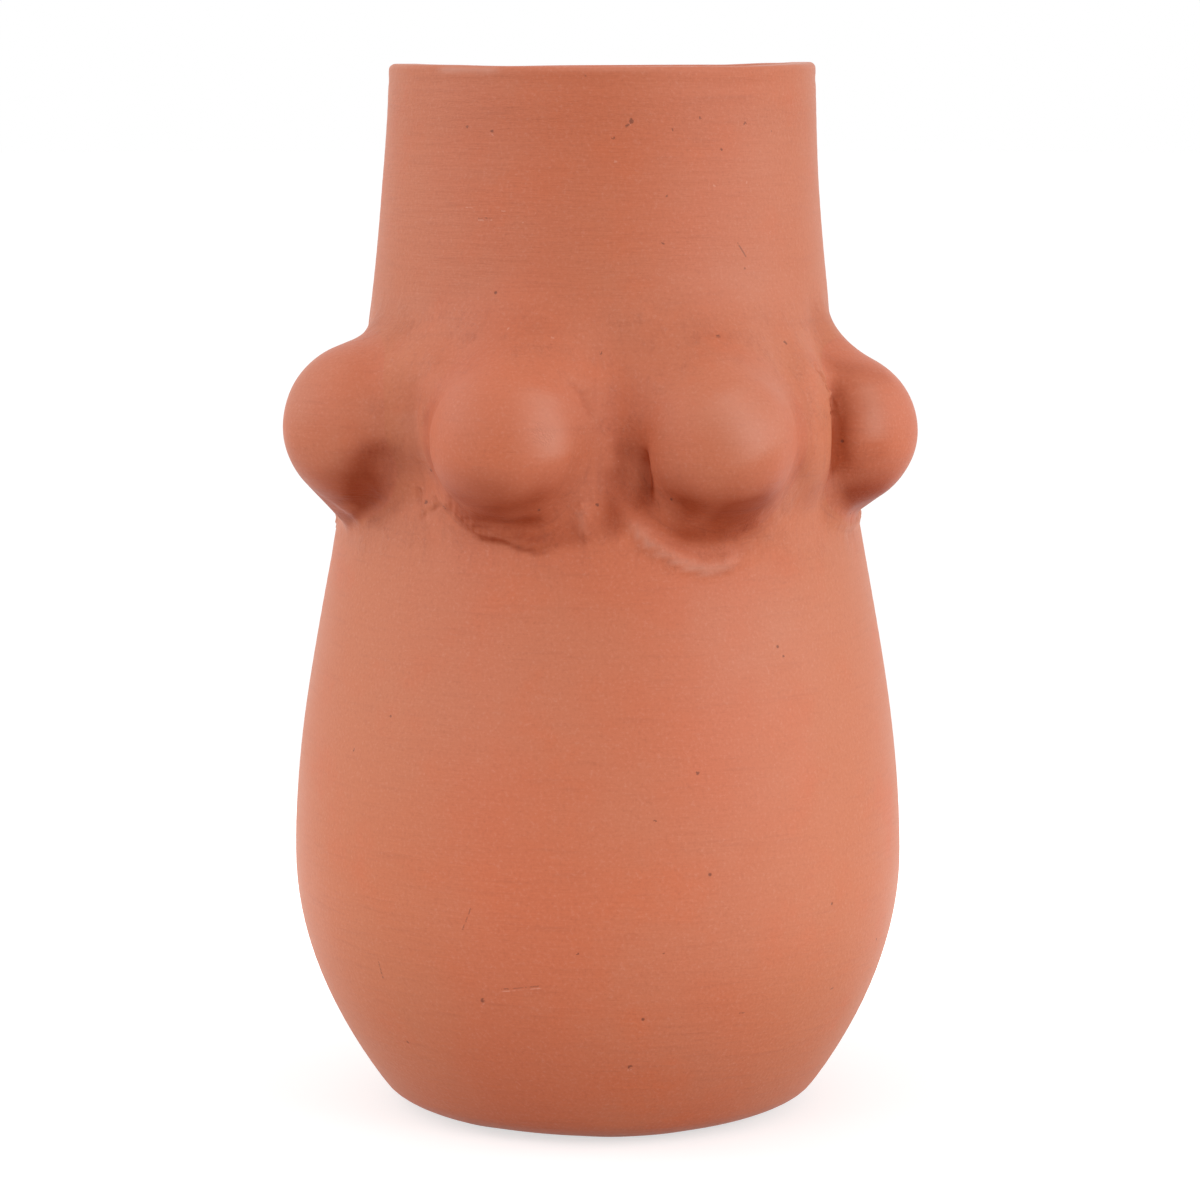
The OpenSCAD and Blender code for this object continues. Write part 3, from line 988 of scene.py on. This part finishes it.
# Small marks on the wall: angle, height and radius of a spot, or the ends and half width of a scratch, in mm.
marks = {
    "pores": [(7.4, 209.2, 0.6), (6.6, 208.4, 0.45), (25.8, 209.6, 0.42), (18.3, 207.4, 0.38),
        (39.7, 208.5, 0.42), (2.8, 205.9, 0.34), (-29.2, 207.0, 0.55), (-37.0, 207.7, 0.42),
        (0.4, 163.3, 0.42), (32.3, 203.4, 0.42), (16.6, 194.2, 0.42), (15.4, 184.8, 0.42),
        (-22.3, 33.8, 0.6), (6.4, 19.7, 0.6), (-44.2, 21.1, 0.45), (39.1, 101.8, 0.45), (18.5, 80.5, 0.4),
        (-52.8, 81.4, 0.4), (10.4, 71.5, 0.36), (-3.6, 44.8, 0.36), (11.9, 44.5, 0.36),
        (45.9, 164.4, 0.5), (-0.5, 133.6, 0.45), (-40.6, 132.6, 0.5), (-34.8, 132.0, 0.5),
        (26.6, 166.5, 0.55), (150.0, 196.0, 0.5), (205.0, 182.0, 0.45), (170.0, 88.0, 0.5),
        (228.0, 60.0, 0.45), (120.0, 40.0, 0.5), (262.0, 104.0, 0.45), (96.0, 205.0, 0.4),
        (285.0, 199.0, 0.4)],
    "flecks": [(-16.5, 190.5, 0.35), (-19.3, 188.9, 0.3), (-21.0, 168.1, 0.35), (-10.6, 166.4, 0.45),
        (40.0, 196.3, 0.35), (47.7, 186.3, 0.35), (29.9, 196.1, 0.35), (1.7, 181.7, 0.3),
        (3.7, 201.2, 0.3), (-31.4, 119.9, 0.4), (4.1, 142.1, 0.35), (140.0, 110.0, 0.4),
        (190.0, 70.0, 0.4), (240.0, 190.0, 0.4), (7.2, 208.5, 0.35), (-29.0, 206.3, 0.4),
        (-22.0, 33.0, 0.45), (6.6, 18.9, 0.45)],
    "scratches": [((-36.0, 191.6), (-24.5, 191.0), 0.2), ((-31.9, 189.1), (-28.1, 189.2), 0.2),
        ((-18.0, 36.1), (-10.5, 37.3), 0.2), ((160.0, 52.0), (171.0, 50.0), 0.25)],
    "cuts": [((-31.9, 189.5), (-28.1, 189.6), 0.22), ((36.3, 184.4), (38.9, 181.4), 0.26),
        ((-18.0, 36.6), (-10.5, 37.8), 0.25), ((28.4, 30.2), (52.9, 31.5), 0.3),
        ((-45.5, 38.6), (-45.2, 35.2), 0.3), ((-23.2, 53.0), (-24.9, 48.5), 0.22),
        ((215.0, 100.0), (224.0, 101.5), 0.25)],
}

fingerPrint = {
    "centre": (-11.9, 145.1),  # angle and height of the middle of the ridges, and of the patch that they fill
    "patch": (-9.6, 148.7),
    "ridge": 0.00058,          # metres
    "patchEdge": (0.0036, 0.0012),
}


def onClay(angle, z):  # the worked face at an angle and a height, in metres
    at = clayAt(angle, z)
    k = np.abs(unworked - at).sum(1).argmin()
    return tuple(float(c) for c in (at + skin[k] - unworked[k]) / 1000)


def gathered(start, gaps):  # the strongest of many marks, each a distance and a reach in mm
    found = None
    for gap, reach in gaps:
        mark = gap.between(reach / 1000, reach / 2500)
        found = mark if found is None else start.sum("MAXIMUM", found, mark)
    return found


def clayMaterial(name, marked, printed):
    material = bpy.data.materials.new(name)
    start = emptyTree(material)
    place = start.node("ShaderNodeTexCoord", out="Object")

    def axis(letter):
        return start.node("ShaderNodeSeparateXYZ", {}, {0: place}, out=letter)

    def stretched(at, scale):
        return start.node("ShaderNodeMapping", {}, {"Vector": at, "Scale": scale})

    def noiseAt(at, scale, detail, rough):
        values = {"Vector": at, "Scale": scale, "Detail": detail, "Roughness": rough}
        return start.node("ShaderNodeTexNoise", {}, values)

    def noise(pattern):
        *settings, stretch = clayGrain[pattern]
        return noiseAt(stretched(place, stretch) if stretch else place, *settings)

    def toned(tone, out="Fac"):
        return start.node("ShaderNodeAttribute", {"attribute_name": tone}, out=out)

    warpWidth = 0.0011  # metres, for the ragged edges of spots
    warpNoise = {"Vector": place, "Scale": 1600.0, "Detail": 1.0}
    warp = start.node("ShaderNodeTexNoise", {}, warpNoise, out="Color")
    ragged = start.vector("MULTIPLY_ADD", warp, (warpWidth,) * 3, place)
    ragged = start.vector("SUBTRACT", ragged, (warpWidth / 2,) * 3)

    def fromSpot(at):
        return start.vector("DISTANCE", ragged, onClay(*at), out="Value")

    def fromScratch(one, other):  # distance to the straight line between two places
        a, b = onClay(*one), onClay(*other)
        line = Vector(b) - Vector(a)
        reached = start.vector("SUBTRACT", place, a)
        share = start.vector("DOT_PRODUCT", reached, tuple(line / line.length_squared), out="Value")
        share = start.sum("ADD", share, 0.0, clamp=True)
        return start.vector("DISTANCE", place, start.vector("MULTIPLY_ADD", share, line, a), out="Value")

    def spots(kind):
        return [(fromSpot((angle, z)), r) for angle, z, r in marks[kind]]

    def lines(kind):
        return [(fromScratch(a, b), r) for a, b, r in marks[kind]]

    cloud, drift, grain, wheel = (noise(pattern) for pattern in ("cloud", "drift", "grain", "wheel"))
    brush, grit, soft = (noise(pattern) for pattern in ("brush", "grit", "lumps"))
    streak = noiseAt(stretched(toned("smearWay", "Vector"), (1.1, 0.35, 0.35)), 1.0, 5.0, 0.65)
    smeared, brushed, paintedShade = (toned(tone) for tone in ("smeared", "brushed", "paintedShade"))
    gritty = noise("gritPatches").between(0.5, 0.62) * brushed

    body = cloud.between(0.4, 0.68).blend(clayLook["body"], clayLook["bloom"])
    if marked:  # painted sheen: the walls are paler towards their left and right edges as the camera sees them
        fromMiddle = start.sum("ABSOLUTE", axis("X"))
        body = (fromMiddle.between(*clayZones["sideSheenFrom"]) * 0.75).blend(body, clayLook["sideSheen"])
    tints = [  # how strongly each pattern brings in another tone of the clay
        (drift.between(0.48, 0.75) * 0.6, "warm"),
        (wheel.between(0.52, 0.8) * 0.3, "deep"),
        (streak.between(0.5, 0.75) * smeared * 0.4, "deep"),
        (brush.between(0.5, 0.75) * brushed * 0.3, "deep"),
        ((1 - grit).between(0.5, 0.7) * gritty * 0.4, "deep"),
        (grain.between(0.5, 0.8) * 0.26, "pale"),
        ((1 - grain).between(0.5, 0.8) * 0.34, "deep"),
        # painted highlights and reflection, and the rim's worn patch
        (toned("paleWearAndHighlight"), "pale"),
    ]
    for share, tone in tints:
        body = share.blend(body, clayLook[tone])
    # painted shade: creases and undersides darkened
    paintedShadeTint = paintedShade.blend((1, 1, 1, 1), clayLook["shadeDarkening"])
    body = start.node("ShaderNodeMix", {"data_type": "RGBA", "blend_type": "MULTIPLY"},
                      {0: 1.0, 6: body, 7: paintedShadeTint}, out=2)

    cells = start.node("ShaderNodeTexVoronoi", {}, {"Vector": place, "Scale": 75.0}, out="Distance")
    pores = cells.between(0.035, 0.015)
    up = axis("Z")
    neck = up.between(*clayZones["neckFrom"])
    height = grain * clayRelief["grain"] + pores * clayRelief["pores"]
    height += wheel * (neck * clayRelief["wheelOnNeck"] + clayRelief["wheel"])
    height += soft * (brushed + neck * clayRelief["lumpsOnNeck"] + clayRelief["lumps"])
    height += streak * smeared * clayRelief["streak"] + brush * brushed * clayRelief["brush"]
    height += grit * gritty * clayRelief["grit"]
    if marked:
        pores = start.sum("MAXIMUM", pores, gathered(start, spots("pores")))
        cuts = gathered(start, lines("cuts")) * grain.between(0.4, 0.58) * 0.5
        # painted shade in the cut lines
        body = cuts.blend(body, clayLook["pitShade"])
        flecks = gathered(start, spots("flecks") + lines("scratches")) * grain.between(0.35, 0.58) * 0.6
        body = flecks.blend(body, clayLook["pale"])
        underRim = up.between(*clayZones["crinkleFrom"]) * up.between(*clayZones["crinkleTo"])
        height += noise("crinkle") * underRim * clayRelief["crinkle"]
    if printed:
        ridges = start.sum("SINE", fromSpot(fingerPrint["centre"]) * (2 * math.pi / fingerPrint["ridge"]))
        patch = fromSpot(fingerPrint["patch"]).between(*fingerPrint["patchEdge"])
        height += ridges * patch * clayRelief["ridges"]
    # painted shade in the pits
    body = (pores * 0.65).blend(body, clayLook["pitShade"])

    bump = start.node("ShaderNodeBump", {}, {
        "Strength": clayLook["bump"], "Distance": clayLook["bumpDepth"], "Height": height})
    outsidePaintedShade = start.sum("SUBTRACT", 1.0, paintedShade, clamp=True)
    handled = outsidePaintedShade * up.between(*clayZones["polishFrom"])  # a faint polish, left off where shade is painted in
    shader = start.node("ShaderNodeBsdfPrincipled", {}, {
        "Base Color": body, "Roughness": clayLook["rough"] + (drift - 0.5) * 0.15, "Normal": bump,
        "Specular IOR Level": clayLook["shine"], "Coat Weight": handled * clayLook["burnish"],
        "Coat Roughness": clayLook["burnishRough"], "Sheen Weight": clayLook["dust"],
        "Sheen Roughness": clayLook["dustRough"]})
    start.node("ShaderNodeOutputMaterial", {}, {"Surface": shader})
    return material


slots = {"neck_wall": "wall_clay", "belly_wall": "wall_clay", "floor_slab": "foot_clay"}
for name in ballNames:
    slots[name] = "ball_clay"
    slots[name.replace("ball", "collar")] = "smeared_clay"
finishes = {slot: clayMaterial(slot, slot == "wall_clay", slot == "ball_clay")
            for slot in sorted(set(slots.values()))}

# Faces that close each piece where it meets its neighbours, in mm.
hidden = {
    "slip": 0.15,       # clearance to each side of the lap
    "bossSlip": 0.2,
    "ballBack": 2.2,    # depths behind a ball's centre or under a collar's edge, unless a note says otherwise
    "ballBackIn": 4.0,  # how much narrower than the ball its back is
    "ballBackTip": 2.8,
    "boreIn": 3.9,      # the same for its collar's bore
    "boreDepth": 5.0,
    "collarUnder": 3.2,
    "seatUnder": 3.3,
    "seatDepth": 5.2,
    "seatR": 10.0,      # radius of the seat's floor
    "seatTip": 5.4,
}

print("closing the pieces")
closings = {node: [] for node in slots}
extras = {node: [] for node in slots}


def addHidden(piece, points):
    first = len(skin) + sum(len(part) for part in extras[piece])
    extras[piece].append(np.asarray(points, float).reshape(-1, 3))
    return np.arange(first, first + np.size(points) // 3)


def hiddenRing(piece, r, z):
    return addHidden(piece, plainRing(r, z))


def closeRings(piece, rings):
    closings[piece] += [strip(low, high) for low, high in zip(rings[:-1], rings[1:])]


def closeLap(piece, first, r, zs, last):  # the step where belly and neck overlap
    closeRings(piece, [first] + [hiddenRing(piece, r, z) for z in zs] + [last])


lapR = float(outerR(seamZ)) - wallT / 2
bossR = float(innerR(floorT))
closeLap("neck_wall", neckRings[-1], lapR - hidden["slip"], (lapZ, seamZ), seamRing)
closeLap("belly_wall", seamRing, lapR + hidden["slip"], (seamZ, lapZ), insideRings[0])
closeRings("belly_wall", [insideRings[-1], hiddenRing("belly_wall", bossR, footZ), bellyRings[0]])
slabRing = hiddenRing("floor_slab", bossR - hidden["bossSlip"], footZ)
closeRings("floor_slab", [bellyRings[0], slabRing, insideRings[-1]])


def closeBall(name):  # a ball's flat back, the underside of its collar and the seat in the wall
    ball, collar = ballRing[name], name.replace("ball", "collar")
    centre, out, side = ballAxes(ball)
    cover, edge = collarEdges[name]
    around = skin[cover] - centre
    around -= (around @ out)[:, None] * out
    around /= np.linalg.norm(around, axis=1, keepdims=True)

    def ringBehind(piece, depth, r):
        return addHidden(piece, centre - out * depth + around * r)

    def tipBehind(piece, depth):
        return addHidden(piece, [centre - out * depth])[0]

    root = ringBehind(name, hidden["ballBack"], ball["r"] - hidden["ballBackIn"])
    closings[name].append(strip(cover, root)[:, ::-1])
    closings[name].append(fan(root, tipBehind(name, hidden["ballBackTip"]))[:, ::-1])
    boreR = ball["r"] - hidden["boreIn"]
    bore = [ringBehind(collar, hidden[depth], boreR) for depth in ("ballBack", "boreDepth")]
    under = addHidden(collar, skin[edge] - out * hidden["collarUnder"])
    closeRings(collar, [cover] + bore + [under, edge])
    seat = addHidden("belly_wall", skin[edge] - out * hidden["seatUnder"])
    seatFoot = ringBehind("belly_wall", hidden["seatDepth"], hidden["seatR"])
    closeRings("belly_wall", [edge, seat, seatFoot])
    closings["belly_wall"].append(fan(seatFoot, tipBehind("belly_wall", hidden["seatTip"])))


for name in ballNames:
    closeBall(name)


def buildPiece(node, slot):
    faces = skinFaces[node] + closings[node]
    loops = np.concatenate([part.ravel() for part in faces])
    used, loopIds = np.unique(loops, return_inverse=True)
    points = np.concatenate([skin] + extras[node])[used] / 1000
    sizes = np.concatenate([np.full(len(part), part.shape[1]) for part in faces])
    starts = np.concatenate([[0], np.cumsum(sizes)[:-1]])
    data = bpy.data.meshes.new(node)
    data.vertices.add(len(points))
    data.vertices.foreach_set("co", points.astype(np.float32).ravel())
    data.loops.add(len(loops))
    data.loops.foreach_set("vertex_index", loopIds.astype(np.int32))
    data.polygons.add(len(sizes))
    data.polygons.foreach_set("loop_start", starts.astype(np.int32))
    data.polygons.foreach_set("use_smooth", np.ones(len(sizes), bool))
    data.update(calc_edges=True)
    data.validate(clean_customdata=False)
    shownLoops = sum(part.size for part in skinFaces[node])
    loopNormals = np.zeros((len(loops), 3))  # hidden faces keep their own
    loopNormals[:shownLoops] = normals[loops[:shownLoops]]
    data.normals_split_custom_set(loopNormals.tolist())
    shown, source = used < len(skin), np.minimum(used, len(skin) - 1)
    for tone, values in tones.items():
        painted = np.where(shown, values[source], 0).astype(np.float32)
        data.attributes.new(tone, "FLOAT", "POINT").data.foreach_set("value", painted)
    way = np.where(shown[:, None], smears[source], 0).astype(np.float32)
    data.attributes.new("smearWay", "FLOAT_VECTOR", "POINT").data.foreach_set("vector", way.ravel())
    data.materials.append(finishes[slot])
    piece = bpy.data.objects.new(node + "_clay", data)
    bpy.context.collection.objects.link(piece)
    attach(piece, "root")
    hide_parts(node)


for node, slot in slots.items():
    buildPiece(node, slot)
print("pieces:", len(slots))

studio = {  # metres
    "cameraAt": (0.0, -0.850, 0.223),
    "cameraTo": (0.0, 0.0, 0.1071),
    "lens": 121.28,
    "sensor": 36,
    "sky": 0.74,
    "floorFoot": (0.52, 0.52, 0.52, 1.0),  # the table close to the pot, round it, and the dim room beyond
    "floorNear": (0.86, 0.86, 0.86, 1.0),
    "floorFar": (0.05, 0.05, 0.05, 1.0),
    "footEdge": (0.07, 0.16),
    "tableEdge": (0.26, 0.42),
    "floorGlow": (0.63, 1.0),  # lift towards white as the camera sees it, near the pot and far off
    "floorR": 8,
    "softboxes": {  # place and watts
        "left": ((-1.256, 0.0, 0.456), 3.4),
        "left_high": ((-0.92, 0.0, 1.04), 1.4),
        "front_left": ((-0.962, -0.807, 0.456), 2.3),
        "right": ((1.256, 0.0, 0.456), 3.2),
        "front_right": ((0.962, -0.807, 0.456), 5.6),
    },
    "softboxSize": 0.6,
    "softboxTo": (0, 0, 0.12),
}


def aimed(thing, at, to):
    thing.location = at
    thing.rotation_euler = (Vector(to) - Vector(at)).to_track_quat("-Z", "Y").to_euler()
    bpy.context.collection.objects.link(thing)


def shownRays(start):  # 1 for a ray from the camera, straight or by way of a reflection or glass
    found = start.node("ShaderNodeLightPath", out="Is Camera Ray")
    for kind in ("Is Glossy Ray", "Is Transmission Ray"):
        found = start.sum("MAXIMUM", found, start.node("ShaderNodeLightPath", out=kind))
    return found


def floorPaint():
    paint = bpy.data.materials.new("floor_paint")
    start = emptyTree(paint)
    seen = shownRays(start)
    place = start.node("ShaderNodeTexCoord", out="Object")
    away = start.vector("LENGTH", place, out="Value")
    table = away.between(*studio["footEdge"]).blend(studio["floorFoot"], studio["floorNear"])
    ground = away.between(*studio["tableEdge"]).blend(table, studio["floorFar"])
    near, far = studio["floorGlow"]
    glow = away.between(studio["footEdge"][0], studio["tableEdge"][0]) * (far - near) + near
    shader = start.node("ShaderNodeBsdfPrincipled", {}, {
        "Base Color": ground, "Roughness": 1.0, "Specular IOR Level": 0.0,
        "Emission Color": glow * seen, "Emission Strength": 1.0})
    start.node("ShaderNodeOutputMaterial", {}, {"Surface": shader})
    return paint


print("setting up the studio")
for name, (at, watts) in studio["softboxes"].items():
    lamp = bpy.data.lights.new(name + "_softbox", "AREA")
    lamp.size = studio["softboxSize"]
    lamp.energy = watts
    aimed(bpy.data.objects.new(name + "_softbox", lamp), at, studio["softboxTo"])

camera = bpy.data.cameras.new("camera")
camera.lens = studio["lens"]
camera.sensor_width = studio["sensor"]
camera.clip_start = 0.01
bpy.context.scene.camera = bpy.data.objects.new("camera", camera)
aimed(bpy.context.scene.camera, studio["cameraAt"], studio["cameraTo"])

floorSides = 64
floorTurns = [2 * math.pi * k / floorSides for k in range(floorSides)]
floorRim = [(studio["floorR"] * math.cos(a), studio["floorR"] * math.sin(a), 0) for a in floorTurns]
floorMesh = bpy.data.meshes.new("floor")
floorMesh.from_pydata(floorRim, [], [tuple(range(floorSides))])
floorMesh.materials.append(floorPaint())
floor = bpy.data.objects.new("floor", floorMesh)
bpy.context.collection.objects.link(floor)

world = bpy.data.worlds.new("studio")
bpy.context.scene.world = world
start = emptyTree(world)
sky, white = (start.node("ShaderNodeBackground", {}, {"Color": (1, 1, 1, 1), "Strength": strength})
              for strength in (studio["sky"], 1.0))
both = start.node("ShaderNodeMixShader", {}, {0: shownRays(start), 1: sky, 2: white})
start.node("ShaderNodeOutputWorld", {}, {"Surface": both})

bpy.context.scene.view_settings.view_transform = "Standard"
